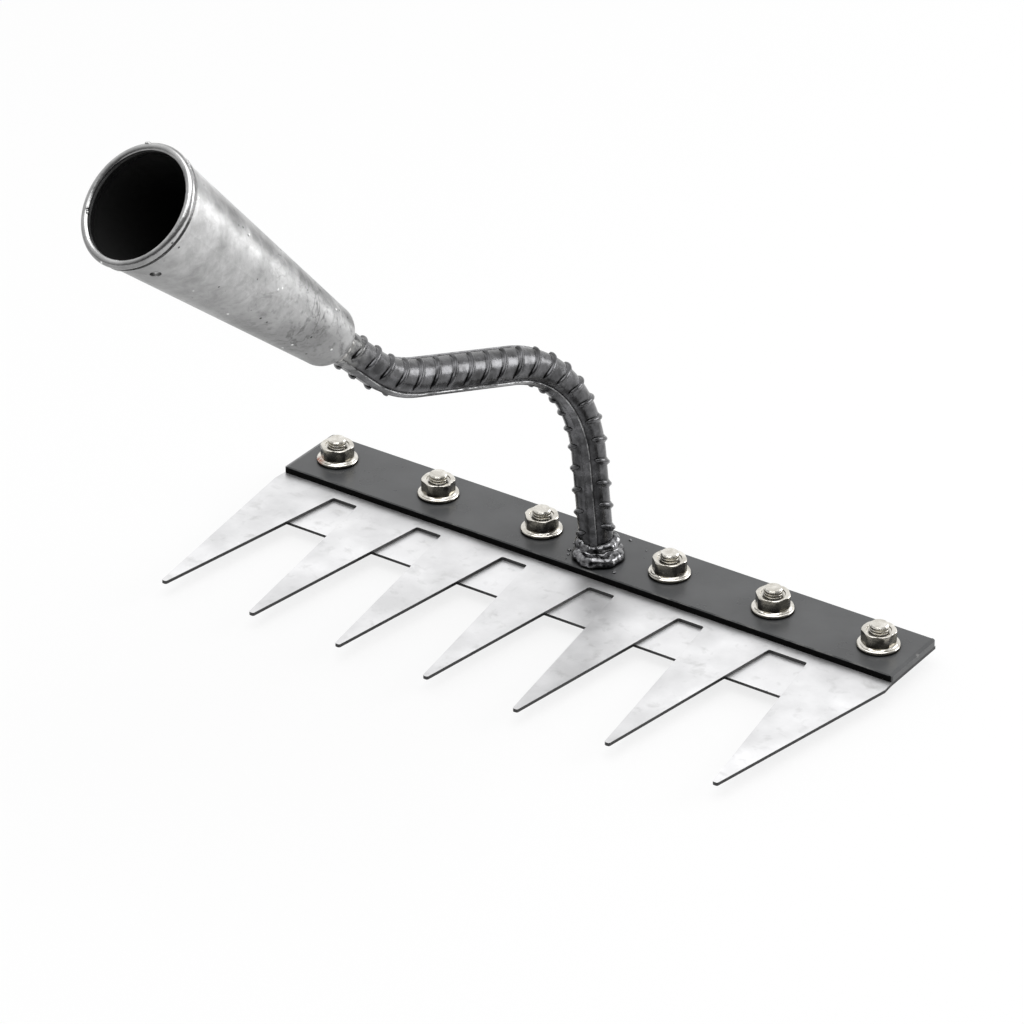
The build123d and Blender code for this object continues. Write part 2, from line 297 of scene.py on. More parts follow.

# %% [markdown]
# The blade and the strip are bare cold-rolled sheet: bright, a little cloudy, with faint
# stains where hands and cutting fluid have been, and a few dark specks. Their sheared edges
# get a dark grey, which is painted shade. The rolling leaves very fine lines along the bar,
# drawn here as stretched noise about 0.3 mm wide.

# %% Bare sheet steel
def sheet_steel(name, light, dark):
    """A finish with bright rolled faces, and sheared edges in a dark grey that is painted shade."""
    material, tree, shader, place = start_finish(name, 1.0, 0.36)
    patches = clouds(tree, place, 26, detail=6)
    stains = clouds(tree, place, 5, detail=8, low=0.56, high=0.8, swirl=0.4)
    top, bottom = (facing(tree, (0, 0, way), 0.3, 0.6) for way in (1, -1))
    rolled = add(tree, "ShaderNodeMath", [top, bottom], operation="MAXIMUM")
    rolled_tone = coats(tree, dark,
                        ([patches], 1, light),
                        ([stains], 0.5, "b4b4b3"),
                        ([dots(tree, place, 9, 0.35, 0.35)], 1, "6e6e6e"))
    fill(tree, shader, {
        # Faces that are not rolled, the sheared edges, get a dark grey of painted shade.
        "Base Color": coats(tree, "4a4a4a", ([rolled], 1, rolled_tone)),
        "Roughness": add(tree, "ShaderNodeMapRange", [patches, 0, 1, 0.4, 0.5])})
    stretched = add(tree, "ShaderNodeVectorMath", [place, (0.12, 1.0, 1.0)], operation="MULTIPLY")
    bump_up(tree, shader, clouds(tree, stretched, 0.3, detail=2), 0.002)
    return material


blade_steel = sheet_steel("bare_rolled_sheet_steel", "f6f6f7", "dcdcdd")
strip_steel = sheet_steel("bare_rolled_strip_steel", "f8f8f9", "ececed")
dress(blade_steel, "tooth_blade")
dress(strip_steel, "backing_strip")
print("finishes:", blade_steel.name, strip_steel.name)

# %% [markdown]
# The ribbed bar keeps the dark scale of hot rolling under a thin black lacquer. It mirrors
# much more than paint and a little less than clean steel, so it is nearly all metal, in a
# dark tone. Painted shade darkens the roots of the ribs. The last centimetre towards the
# socket is lighter, where the weld's heat and grinding took the lacquer off.

# %% Lacquered ribbed bar
lacquer, tree, shader, place = start_finish("black_lacquer_over_rolled_bar", 0.85, 0.28)
patches = clouds(tree, place, 3.5, detail=6)
near_socket = near_place(tree, place, socket_end, 6, 13)
ground_off = clouds(tree, place, 2.5, low=0.4, high=0.55)
# The darkening at the roots of the ribs is painted shade.
fill(tree, shader, {
    "Base Color": coats(tree, "3e3e3f",
                        ([patches], 1, "6a6a6c"),
                        ([corner_shade(tree, 1.0, 0.6, 0.92)], 1, "060606"),
                        ([near_socket, ground_off], 0.6, "a5a5a3")),
    "Roughness": add(tree, "ShaderNodeMapRange", [patches, 0, 1, 0.16, 0.3])})
bump_up(tree, shader, clouds(tree, place, 0.8, detail=4), 0.015, edge_mm=0.25)
dress(lacquer, "gooseneck")
print("finish:", lacquer.name)

# %% [markdown]
# The socket is steel tube swaged to a taper and dipped in zinc. The inside is painted nearly
# black, as painted shade. To find it, the tree works out how deep each point lies behind the
# mouth and how far from the socket's axis, and compares that with a cone inside the wall.

# %% Inside of the socket
def inside_of_socket(tree, place):
    """1 on the inner wall of the tapered tube, and the depth behind the mouth."""
    from_mouth = add(tree, "ShaderNodeVectorMath", [place, mouth], operation="SUBTRACT")
    depth = add(tree, "ShaderNodeVectorMath", [from_mouth, -handle_way], operation="DOT_PRODUCT")
    across = add(tree, "ShaderNodeVectorMath", [from_mouth, handle_way], operation="CROSS_PRODUCT")
    radius = add(tree, "ShaderNodeVectorMath", [across], operation="LENGTH")
    in_wall = throat_radius + 0.7 * MM
    taper_run = 0.1
    far_in_wall = in_wall - taper_run * socket_taper
    wall = add(tree, "ShaderNodeMapRange", [depth, 0.0, taper_run, in_wall, far_in_wall])
    within = add(tree, "ShaderNodeMath", [wall, radius], operation="SUBTRACT")
    hidden = add(tree, "ShaderNodeMapRange", [within, 0, 0.15 * MM])
    behind_rim = add(tree, "ShaderNodeMapRange", [depth, 0.9 * MM, 2.2 * MM])
    return add(tree, "ShaderNodeMath", [hidden, behind_rim], operation="MULTIPLY"), depth


# %% [markdown]
# The zinc ran and froze in swirled grey clouds with small dark pits. Noise with a swirl gives
# those flow lines. A crease is the thin line between two levels of one noise. The small end
# is mottled and creased most. The side turned away from the lamps is painted darker, as
# painted shade, and a darker band along the upper edge is a painted reflection.

# %% Patterns of the zinc
zinc, tree, shader, place = start_finish("galvanised_tube", 0.9, 0.42)
broad = clouds(tree, place, 17, detail=6, low=0.3, high=0.7)
flow = clouds(tree, place, 5, detail=10, low=0.36, high=0.66, roughness=0.68, swirl=0.5)
fine = clouds(tree, place, 2.0, detail=8, low=0.52, high=0.68)
# Painted shade: the side turned away from the lamps gets a darker grey.
painted_underside_shade = facing(tree, (0.6, 0.3, 0.75), 0.75, -0.5)
small_end = near_place(tree, place, socket_end, 30, 75)
finer_there = add(tree, "ShaderNodeMapRange", [small_end, 0, 1, 0.08, 0.45])
one_side, other_side = (clouds(tree, place, 9, detail=3, low=low, high=low + 0.03, swirl=1.0)
                        for low in (0.47, 0.50))
crease = add(tree, "ShaderNodeMath", [one_side, other_side], operation="SUBTRACT")
creased = clouds(tree, place, 12, low=0.45, high=0.6)
# Painted reflection: a darker band along the upper edge, where the zinc mirrors the dark horizon between the
# lamps.
upper_edge = (0.226, 0.657, 0.720)
before, beyond = (facing(tree, upper_edge, low, high) for low, high in ((0.55, 0.72), (0.84, 0.95)))
painted_reflection_band = add(tree, "ShaderNodeMath", [before, beyond], operation="SUBTRACT")
reflection_band_clouds = clouds(tree, place, 9, detail=6, low=0.25, high=0.6)
pits = dots(tree, place, 3.4, 0.5, 0.3)
flecks = dots(tree, place, 4.2, 0.5, 0.25)
print("patterns of:", zinc.name)

# %% [markdown]
# The coats lie over each other: grey clouds first, the painted shade of the underside and the
# grey of the small end, then creases, the band of painted reflection, light flecks and pits,
# and last the inside, painted nearly black as painted shade. The rolled rim is rubbed smooth
# by handles, so it is glossier than the tube behind it.

# %% Galvanised socket
# The inner wall and the nail hole's wall are painted nearly black and not metal: painted shade.
painted_inside_shade, depth = inside_of_socket(tree, place)
nail_hole = near_place(tree, place, Vector(mounts["nail_hole"]["pos_m"]), 1.72, 1.95)
painted_inside_shade = add(tree, "ShaderNodeMath", [painted_inside_shade, nail_hole], operation="MAXIMUM")
tone = coats(tree, "acacac",
             ([broad], 1, "f4f4f4"),
             ([flow], 0.36, "6c6c6c"),
             ([painted_underside_shade], 0.62, "545454"),
             ([small_end], 0.4, "787878"),
             ([fine, finer_there], 1, "4c4c4c"),
             ([crease, small_end, creased], 0.55, "4a4a4a"),
             ([painted_reflection_band, reflection_band_clouds], 0.72, "565656"),
             ([flecks], 1, "f6f6f6"),
             ([pits], 1, "333333"),
             ([painted_inside_shade], 1, "242424"))
fill(tree, shader, {
    "Base Color": tone,
    "Metallic": add(tree, "ShaderNodeMapRange", [painted_inside_shade, 0, 1, 0.9, 0.0]),
    "Roughness": add(tree, "ShaderNodeMapRange", [depth, 3.0 * MM, 4.2 * MM, 0.14, 0.36])})
bump_up(tree, shader, add(tree, "ShaderNodeMath", [flow, pits], operation="SUBTRACT"), 0.05)
dress(zinc, "handle_socket")
print("finish:", zinc.name)

# %% [markdown]
# Nuts and bolts are plated steel, bright on the chamfers and a little warm in colour. Their
# upright faces mirror the dark side of the room, and patchy dark tones stand for that.
# Tarnish has settled as a yellow-brown line where the hexagon meets the flange, and the
# countersink round the thread is darkened by painted shade. One nut has a spot of orange rust.

# %% Bright fasteners
plate, tree, shader, place = start_finish("bright_steel_fasteners", 1.0, 0.2)
patches = clouds(tree, place, 3, detail=5)
height = add(tree, "ShaderNodeSeparateXYZ", [place]).outputs["Z"]
seam = from_bar(0, 0, 4.9).z
above = add(tree, "ShaderNodeMapRange", [height, seam - 0.7 * MM, seam])
below = add(tree, "ShaderNodeMapRange", [height, seam, seam + 0.9 * MM, 1.0, 0.0])
dried = clouds(tree, place, 2.2, detail=4, low=0.35, high=0.55)
upright = facing(tree, (0, 0, 1), 0.6, 0.2)
mirrored = clouds(tree, place, 4.0, detail=0, low=0.42, high=0.58)
dark_side = coats(tree, "2e2b27", ([mirrored], 1, "8c887c"))
rust_spot = near_place(tree, place, from_bar(-111.35, -6.0, 3.4), 1.0, 3.2)
rust = clouds(tree, place, 1.5, detail=4, low=0.4, high=0.55)
# The last coat, from ambient occlusion, is painted shade in the countersink and other corners.
fill(tree, shader, {
    "Base Color": coats(tree, "cbc7be",
                        ([patches], 1, "f0ede6"),
                        ([above, below, dried], 1, "6f5a3c"),
                        ([upright], 0.85, dark_side),
                        ([rust_spot, rust], 1, "8c4a2a"),
                        ([corner_shade(tree, 0.9, 0.3, 0.75)], 1, "1c1a17")),
    "Roughness": add(tree, "ShaderNodeMapRange", [patches, 0, 1, 0.14, 0.3])})
bump_up(tree, shader, clouds(tree, place, 0.8, detail=3), 0.012)
for n in range(1, 7):
    dress(plate, f"bolt_{n}", f"flange_nut_{n}")
print("finish:", plate.name)

# %% [markdown]
# Weld is metal that was liquid a moment before. Round the foot it lies under thick glossy
# lacquer, so every lump carries its own sharp highlight. At the socket it is bare and rough.

# %% Weld finishes
weld_lacquer, tree, shader, place = start_finish("glossy_black_weld", 0.9, 0.12)
patches = clouds(tree, place, 2.0, detail=4)
# The darkening in the corners between the lumps is painted shade.
fill(tree, shader, {
    "Base Color": coats(tree, "202022", ([patches], 1, "9c9c9e"), ([corner_shade(tree, 1.6, 0.55)], 1, "060606")),
    "Roughness": add(tree, "ShaderNodeMapRange", [patches, 0, 1, 0.07, 0.16])})
bump_up(tree, shader, clouds(tree, place, 2.6, detail=1), 0.14)
dress(weld_lacquer, "foot_weld")

bare_weld, tree, shader, place = start_finish("rough_bare_weld", 1.0, 0.35)
rough = clouds(tree, place, 1.6, detail=4)
# The darkening in the corners of the bead is painted shade.
fill(tree, shader, {
    "Base Color": coats(tree, "8e8d8a", ([rough], 1, "cfcecb"), ([corner_shade(tree, 0.9)], 1, "222222"))})
bump_up(tree, shader, rough, 0.08)
dress(bare_weld, "socket_weld")
print("finishes:", weld_lacquer.name, bare_weld.name)

# %% [markdown]
# The shapes that CAD leaves out are many small copies of one form, so Geometry Nodes make
# them. A tree gets its sizes as named inputs. One helper starts such a tree, and another
# runs it on points, lines or a mesh and keeps the result as a plain mesh.

# %% Geometry Nodes helpers
def start_tree(name, inputs):
    """A Geometry Nodes tree with named inputs. Returns the tree and its input node."""
    tree = bpy.data.node_groups.new(name, "GeometryNodeTree")
    tree.interface.new_socket("Geometry", in_out="INPUT", socket_type="NodeSocketGeometry")
    tree.interface.new_socket("Geometry", in_out="OUTPUT", socket_type="NodeSocketGeometry")
    for label, (kind, value) in inputs.items():
        socket = tree.interface.new_socket(label, in_out="INPUT", socket_type=f"NodeSocket{kind}")
        if value is not None:
            socket.default_value = value
    return tree, add(tree, "NodeGroupInput")


def end_tree(tree, geometry, material_socket):
    """Make instances real, give them their material and pass them on."""
    real = add(tree, "GeometryNodeRealizeInstances", [geometry])
    dressed = add(tree, "GeometryNodeSetMaterial", {"Geometry": real, "Material": material_socket})
    add(tree, "NodeGroupOutput", [dressed])
    print("tree:", tree.name)


def mesh_of(name, points, edges=(), faces=()):
    """A plain mesh, whose points may be vectors."""
    mesh = bpy.data.meshes.new(name)
    mesh.from_pydata([tuple(point) for point in points], edges, faces)
    return mesh


def grow(name, start, tree, values, extra=()):
    """Run a tree on points or a mesh, apply the extra modifiers too, and keep a plain mesh."""
    piece = bpy.data.objects.new(name, mesh_of(name, start) if isinstance(start, list) else start)
    bpy.context.scene.collection.objects.link(piece)
    modifier = piece.modifiers.new("grow", "NODES")
    modifier.node_group = tree
    for item in tree.interface.items_tree:
        if item.in_out == "INPUT" and item.name in values:
            modifier[item.identifier] = values[item.name]
    for kind, settings in extra:
        more = piece.modifiers.new(kind.lower(), kind)
        for setting, value in settings.items():
            setattr(more, setting, value)
    evaluated = piece.evaluated_get(bpy.context.evaluated_depsgraph_get())
    finished = bpy.data.meshes.new_from_object(evaluated)
    piece.modifiers.clear()
    piece.data = finished
    finished.name = name
    return piece


# %% [markdown]
# A mesh that is built ring by ring gets its faces turned outwards. Each finished piece is
# hung on the rake head's one rigid body, gets its material, and says how many triangles it
# has.

# %% Finish a piece
def outwards(mesh):
    """Turn all faces of a closed mesh outwards."""
    shell = bmesh.new()
    shell.from_mesh(mesh)
    bmesh.ops.recalc_face_normals(shell, faces=shell.faces)
    shell.to_mesh(mesh)
    shell.free()


def finish_piece(piece, material, smooth=True, sharp_from=None):
    """Hang a piece on the body. Its faces are shaded smooth, or stay as
    they were made. Edges that bend by more than the angle sharp_from stay crisp."""
    if smooth:
        for face in piece.data.polygons:
            face.use_smooth = True
    if sharp_from is not None:
        piece.data.set_sharp_from_angle(angle=sharp_from)
    piece.data.materials.clear()
    piece.data.materials.append(material)
    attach(piece, "root")
    print(piece.name, "triangles:", sum(len(face.vertices) - 2 for face in piece.data.polygons))
    return piece


# %% [markdown]
# A weld bead is laid drop by drop: the welder moves the arc on in small steps, and each
# puddle freezes half over the last one, like fallen coins. So the tree sets balls of
# slightly different sizes on a ring. A voxel remesh then melts the balls into one skin, and
# some smoothing gives it the surface of a frozen liquid.

# %% Tree for drops of weld
drops_tree, given = start_tree("weld_drops", {
    "Drop Radius": ("Float", 1.0), "Unevenness": ("Float", 0.2), "Flatness": ("Float", 1.0),
    "Seed": ("Int", 1), "Finish": ("Material", None)})
ball = add(drops_tree, "GeometryNodeMeshIcoSphere", {
    "Radius": given.outputs["Drop Radius"], "Subdivisions": 3})
least, most = (add(drops_tree, "ShaderNodeMath", [1.0, given.outputs["Unevenness"]], operation=operation)
               for operation in ("SUBTRACT", "ADD"))
size = add(drops_tree, "FunctionNodeRandomValue", {2: least, 3: most, "Seed": given.outputs["Seed"]},
           data_type="FLOAT")
height = add(drops_tree, "ShaderNodeMath", [size, given.outputs["Flatness"]], operation="MULTIPLY")
shape = add(drops_tree, "ShaderNodeCombineXYZ", [size, size, height])
drops = add(drops_tree, "GeometryNodeInstanceOnPoints", {
    "Points": given.outputs["Geometry"], "Instance": ball, "Scale": shape})
end_tree(drops_tree, drops, given.outputs["Finish"])


def drops_of(radius_mm, unevenness, flatness, seed, finish):
    """The values that the tree for drops takes."""
    return {"Drop Radius": radius_mm * MM, "Unevenness": unevenness, "Flatness": flatness,
            "Seed": seed, "Finish": finish}


def melt(voxel_mm, smoothing):
    """Modifiers that melt drops into one skin."""
    return [("REMESH", {"mode": "VOXEL", "voxel_size": voxel_mm * MM}),
            ("SMOOTH", {"iterations": smoothing, "factor": 0.5})]


# %% [markdown]
# The foot weld has two runs. The lower one is broad and sags towards the viewer's right, the
# upper one is a narrow collar that climbs the ribbed bar. Drops between them fill the bead's
# core. They replace the CAD's smooth bead. The drops reach below the bar's top, so the skin
# is cut off there and closed.

# %% Lumpy weld round the foot
def ring(centre, radius_mm, count, jitter_mm, rise_mm, rng, across=(1, 0, 0), along=(0, 1, 0), out=(0, 0, 1)):
    """Points round a circle, each a little out of place."""
    points = []
    for n in range(count):
        angle = 2 * math.pi * (n + rng.uniform(-0.2, 0.2)) / count
        reach = (radius_mm + rng.uniform(-jitter_mm, jitter_mm)) * MM
        lift = rng.uniform(-rise_mm, rise_mm) * MM
        points.append(centre + Vector(across) * math.cos(angle) * reach
                      + Vector(along) * math.sin(angle) * reach + Vector(out) * lift)
    return points


def cut_below(piece, height):
    """Take off what lies under a level, and close the cut."""
    mesh = bmesh.new()
    mesh.from_mesh(piece.data)
    everything = mesh.verts[:] + mesh.edges[:] + mesh.faces[:]
    bmesh.ops.bisect_plane(mesh, geom=everything, plane_co=(0, 0, height), plane_no=(0, 0, -1),
                           clear_outer=True)
    bmesh.ops.holes_fill(mesh, edges=[edge for edge in mesh.edges if edge.is_boundary])
    mesh.to_mesh(piece.data)
    mesh.free()


rng = random.Random(7)
lower_run = ring(from_bar(1.8, -4.0, 3.8), 6.5, 24, 0.55, 0.3, rng)
lower_fill = ring(from_bar(1.6, -3.6, 3.9), 4.2, 10, 0.2, 0.1, rng)
upper_run = ring(from_bar(0.0, -1.7, 6.5), 5.2, 20, 0.35, 0.4, rng)
upper_fill = ring(from_bar(0.2, -2.0, 5.4), 4.9, 11, 0.2, 0.2, rng)
foot_bead = grow("foot_weld_bead", lower_run + lower_fill + upper_run + upper_fill, drops_tree,
                 drops_of(2.3, 0.12, 0.95, 3, weld_lacquer), melt(0.3, 14))
cut_below(foot_bead, bar_high.z)
finish_piece(foot_bead, weld_lacquer)
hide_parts("foot_weld")

# %% [markdown]
# The ring of weld at the socket is the same idea on a smaller circle that stands across the
# socket's axis. It is rough, bright and uneven, and fills the corner between tube and bar.

# %% Weld at the socket
across = handle_way.cross(Vector((0, 0, 1))).normalized()
along = handle_way.cross(across).normalized()
rng = random.Random(12)
bead = []
for ahead_mm, radius_mm, jitter_mm, rise_mm in ((-0.2, 5.75, 0.15, 0.35), (0.9, 6.0, 0.12, 0.2)):
    centre = socket_end + handle_way * ahead_mm * MM
    bead += ring(centre, radius_mm, 18, jitter_mm, rise_mm, rng, across, along, handle_way)
socket_bead = grow("socket_weld_bead", bead, drops_tree,
                   drops_of(1.15, 0.2, 1.0, 5, bare_weld), melt(0.22, 2))
finish_piece(socket_bead, bare_weld)
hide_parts("socket_weld")

# %% [markdown]
# Spatter is fine drops that flew off the arc and stuck to the bar beside the weld, under the
# same lacquer. The same tree makes them, flatter and not melted together. Each starting
# point is a spot on the bar's top.

# %% Weld spatter on the bar
spots = [(-7.0, -8.6), (-6.1, -11.2), (-8.3, -6.0), (4.8, 10.8), (12.9, 8.0), (-4.4, 6.1), (-9.6, -1.4),
         (11.9, -9.8)]
spatter = grow("weld_spatter", [from_bar(x, y, bar_thickness) for x, y in spots], drops_tree,
               drops_of(0.5, 0.45, 0.8, 9, weld_lacquer))
finish_piece(spatter, weld_lacquer)

# %% [markdown]
# A flange nut starts as a turned blank: flange, crown and countersink are rings about one
# axis. So a short function turns a profile into rings of quads. Round stretches of a profile
# are arcs.

# %% Turned blanks
def arc(centre, radius, first, last, steps=6):
    """Points on a circle in a profile, from one angle in degrees to another."""
    points = []
    for n in range(steps + 1):
        angle = math.radians(first + (last - first) * n / steps)
        points.append((centre[0] + radius * math.cos(angle), centre[1] + radius * math.sin(angle)))
    return points


def turned(name, profile, closed, steps=96):
    """Rings of quads about the Z axis. The profile is (radius, height) in millimetres."""
    verts, faces = [], []
    for radius, level in profile:
        for n in range(steps):
            angle = 2 * math.pi * n / steps
            verts.append((radius * MM * math.cos(angle), radius * MM * math.sin(angle), level * MM))
    for first in range(len(profile) if closed else len(profile) - 1):
        second = (first + 1) % len(profile)
        for n in range(steps):
            m = (n + 1) % steps
            faces.append((first * steps + n, first * steps + m, second * steps + m, second * steps + n))
    if not closed:
        last = (len(profile) - 1) * steps
        faces += [tuple(reversed(range(steps))), tuple(last + n for n in range(steps))]
    return mesh_of(name, verts, faces=faces)


# %% [markdown]
# A mill then cuts the hexagon, and the tree does the same. Above a level it pulls every point
# in to the hexagon's flat, where the blank is wider. The distance to a flat grows with one
# over the cosine of the angle from its middle. The blank is narrower than the hexagon's
# corners, so they stay round, and the rounded crown gets the faint scallops that real nuts
# have. The tree then turns the nut and sets it down.

# %% Tree that mills a turned blank
mill_tree, given = start_tree("mill_hexagon", {
    "Half Flats": ("Float", 0.005), "From Height": ("Float", 0.002), "Turn": ("Float", 0.0),
    "Place": ("Vector", None), "Finish": ("Material", None)})
half_face = math.radians(30)
spot = add(mill_tree, "GeometryNodeInputPosition")
x, y, z = add(mill_tree, "ShaderNodeSeparateXYZ", [spot]).outputs
flat_spot = add(mill_tree, "ShaderNodeCombineXYZ", [x, y, 0.0])
blank_radius = add(mill_tree, "ShaderNodeVectorMath", [flat_spot], operation="LENGTH")
angle = add(mill_tree, "ShaderNodeMath", [y, x], operation="ARCTAN2")
from_corner = add(mill_tree, "ShaderNodeMath", [angle, half_face], operation="PINGPONG")
off_middle = add(mill_tree, "ShaderNodeMath", [half_face, from_corner], operation="SUBTRACT")
slant = add(mill_tree, "ShaderNodeMath", [off_middle], operation="COSINE")
flat_radius = add(mill_tree, "ShaderNodeMath", [given.outputs["Half Flats"], slant], operation="DIVIDE")
share = add(mill_tree, "ShaderNodeMath", [flat_radius, blank_radius], operation="DIVIDE")
pull = add(mill_tree, "ShaderNodeMath", [share, 1.0], operation="MINIMUM")
milled = add(mill_tree, "ShaderNodeMath", [z, given.outputs["From Height"]], operation="GREATER_THAN")
keep = add(mill_tree, "ShaderNodeMix", {0: milled, 2: 1.0, 3: pull})
scale = add(mill_tree, "ShaderNodeCombineXYZ", [keep, keep, 1.0])
cut = add(mill_tree, "ShaderNodeVectorMath", [spot, scale], operation="MULTIPLY")
shaped = add(mill_tree, "GeometryNodeSetPosition", {"Geometry": given.outputs["Geometry"], "Position": cut})
turn = add(mill_tree, "ShaderNodeCombineXYZ", {2: given.outputs["Turn"]})
seated = add(mill_tree, "GeometryNodeTransform", {
    "Geometry": shaped, "Translation": given.outputs["Place"], "Rotation": turn})
end_tree(mill_tree, seated, given.outputs["Finish"])

# %% [markdown]
# The six nuts were tightened by hand, so each hexagon stands at its own angle. The flange
# has a rounded lip, and the crown is a rounded ring with a dished step down to the thread.
# The bolt's end stands two millimetres proud with a crisp chamfer. It is turned in the same
# way, and its mill starts above its top, so it stays round.

# %% Six nuts and six bolt ends
flange_lip = arc((6.45, 0.68), 0.66, -60, 100)
round_crown = arc((5.2, 5.5), 0.6, 0, 90)
countersink = [(4.6, 6.05), (4.15, 5.85), (3.95, 5.45), (3.5, 5.2), (3.05, 5.1)]
nut_profile = [(3.05, 0.0), (6.6, 0.0), *flange_lip, (6.05, 1.6), (5.8, 1.75), *round_crown, *countersink]
bolt_profile = [(3.03, 5.0), (3.03, 7.85), (2.7, 8.2), (2.0, 8.22), (1.2, 8.12)]
nut_turns = (22, 35, 12, 17, 13, 25)
nut_milled_from = 1.7 * MM
never_milled = 1.0
crisp_from = math.radians(26)


def mill(name, profile, closed, place, turn_degrees, from_height):
    """Turn, mill and place one fastener."""
    piece = grow(name, turned(name, profile, closed), mill_tree, {
        "Half Flats": 5.4 * MM, "From Height": from_height, "Turn": math.radians(turn_degrees),
        "Place": place, "Finish": plate})
    outwards(piece.data)
    return finish_piece(piece, plate, sharp_from=crisp_from)


bolt_feet = []
for n, nut_turn in enumerate(nut_turns, start=1):
    foot = middle(f"bolt_{n}")
    foot.z = bar_high.z
    bolt_feet.append(foot)
    nut = mill(f"milled_nut_{n}", nut_profile, True, foot, nut_turn, nut_milled_from)
    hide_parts(f"flange_nut_{n}")
    mill(f"bolt_end_{n}", bolt_profile, False, foot, 0, never_milled)

# %% [markdown]
# A bolt's thread shows for a turn or two between its chamfer and the nut. A thread is a
# helix, so the tree bends a spiral curve, runs a three-sided profile along it and sets one
# copy on each bolt. M6 has a pitch of 1 mm.

# %% Threads on the bolt ends
thread_tree, given = start_tree("thread_turns", {
    "Shank Radius": ("Float", 0.003), "Pitch": ("Float", 0.001), "Turns": ("Float", 1.0),
    "Crest": ("Float", 0.0003), "Finish": ("Material", None)})
shank, turns = given.outputs["Shank Radius"], given.outputs["Turns"]
climb = add(thread_tree, "ShaderNodeMath", [given.outputs["Pitch"], turns], operation="MULTIPLY")
helix = add(thread_tree, "GeometryNodeCurveSpiral", {
    "Resolution": 32, "Rotations": turns, "Start Radius": shank, "End Radius": shank, "Height": climb})
crest = add(thread_tree, "GeometryNodeCurvePrimitiveCircle", {
    "Resolution": 3, "Radius": given.outputs["Crest"]})
ridge = add(thread_tree, "GeometryNodeCurveToMesh", {
    "Curve": helix, "Profile Curve": crest, "Fill Caps": True})
copies = add(thread_tree, "GeometryNodeInstanceOnPoints", {
    "Points": given.outputs["Geometry"], "Instance": ridge})
end_tree(thread_tree, copies, given.outputs["Finish"])

thread_foot = Vector((0, 0, 5.4 * MM))
threads = grow("bolt_threads", [foot + thread_foot for foot in bolt_feet], thread_tree, {
    "Shank Radius": 3.0 * MM, "Pitch": 1.0 * MM, "Turns": 2.3, "Crest": 0.2 * MM, "Finish": plate})
finish_piece(threads, plate, smooth=False)

# %% [markdown]
# The rolling mill presses the cross ribs of reinforcing bar into its surface while it is hot,
# so they are rounded, with blunt ends beside the long ribs. The CAD model has them as sharp
# ridges. Here each one gets a rounded back. They follow the rod's path, which is three
# straight runs and two bends, with the same sizes as in the CAD model's source.

# %% Path of the gooseneck
def heading(turned_degrees, lean_degrees):
    """Direction at an angle from upright, tipped towards the teeth and then turned."""
    a, b = math.radians(turned_degrees), math.radians(lean_degrees)
    return Vector((math.sin(a) * math.sin(b), -math.cos(a) * math.sin(b), math.cos(b)))


rod_foot = from_bar(0.0, -1.7, bar_thickness)
foot_way = heading(-86.0, 5.7)
middle_way = heading(-7.5, 73.0)
sideways = heading(82.5, 90.0)
long_rib_turn = math.radians(38)
long_rib_way = sideways.cross(middle_way) * math.cos(long_rib_turn) + sideways * math.sin(long_rib_turn)
neck_runs = ((36.2, 48.5, middle_way), (46.6, 47.2, handle_way), (21.5, 0.0, handle_way))
neck_length = sum(run + radius * first.angle(second) for (run, radius, second), first in zip(
    neck_runs, (foot_way, middle_way, handle_way)))
print("gooseneck length in mm:", round(neck_length, 1))

# %% [markdown]
# One function walks along the path and carries the long rib's side with it. It gives the
# rod's middle, its direction and that side at any distance from the foot.

# %% Walk along the gooseneck
def turn_between(first, second, share=1.0):
    """Rotation that brings one direction a share of the way to another."""
    return Matrix.Rotation(first.angle(second) * share, 3, first.cross(second).normalized())


def along_neck(distance):
    """Middle, direction and long rib's side of the rod, at millimetres from its foot."""
    centre, way = rod_foot.copy(), foot_way
    side = turn_between(middle_way, foot_way) @ long_rib_way
    for run, radius, next_way in neck_runs:
        centre += way * min(distance, run) * MM
        distance -= run
        if distance <= 0 or radius == 0:
            break
        bend = way.angle(next_way)
        share = min(distance / (radius * bend), 1.0)
        inward = way.cross(next_way).normalized().cross(way)
        centre += (way * math.sin(bend * share) + inward * (1 - math.cos(bend * share))) * radius * MM
        bent = turn_between(way, next_way, share)
        way, side = bent @ way, bent @ side
        distance -= radius * bend
        if distance <= 0:
            break
    return centre, way, side


print("gooseneck ends at", [round(value, 4) for value in along_neck(neck_length)[0]])

# %% [markdown]
# The tree makes curves of a piece's lines and sweeps a small circle along them. The circle
# keeps nearly its whole size and closes quickly at both ends, like the end of a loaf.

# %% Tree for rounded ribs
rib_tree, given = start_tree("rounded_ribs", {
    "Half Width": ("Float", 0.0008), "Finish": ("Material", None)})
end_roundness = 8.0
blunt_end = 0.03
lines = add(rib_tree, "GeometryNodeMeshToCurve", {"Mesh": given.outputs["Geometry"]})
along_rib = add(rib_tree, "GeometryNodeSplineParameter")
from_middle = add(rib_tree, "ShaderNodeMath", [along_rib, 2.0, -1.0], operation="MULTIPLY_ADD")
from_middle = add(rib_tree, "ShaderNodeMath", [from_middle], operation="ABSOLUTE")
closing = add(rib_tree, "ShaderNodeMath", [from_middle, end_roundness], operation="POWER")
swelling = add(rib_tree, "ShaderNodeMath", [1 + blunt_end, closing], operation="SUBTRACT")
swelling = add(rib_tree, "ShaderNodeMath", [swelling], operation="SQRT")
section = add(rib_tree, "GeometryNodeCurvePrimitiveCircle", {
    "Resolution": 12, "Radius": given.outputs["Half Width"]})
backs = add(rib_tree, "GeometryNodeCurveToMesh", {
    "Curve": lines, "Profile Curve": section, "Scale": swelling, "Fill Caps": True})
end_tree(rib_tree, backs, given.outputs["Finish"])

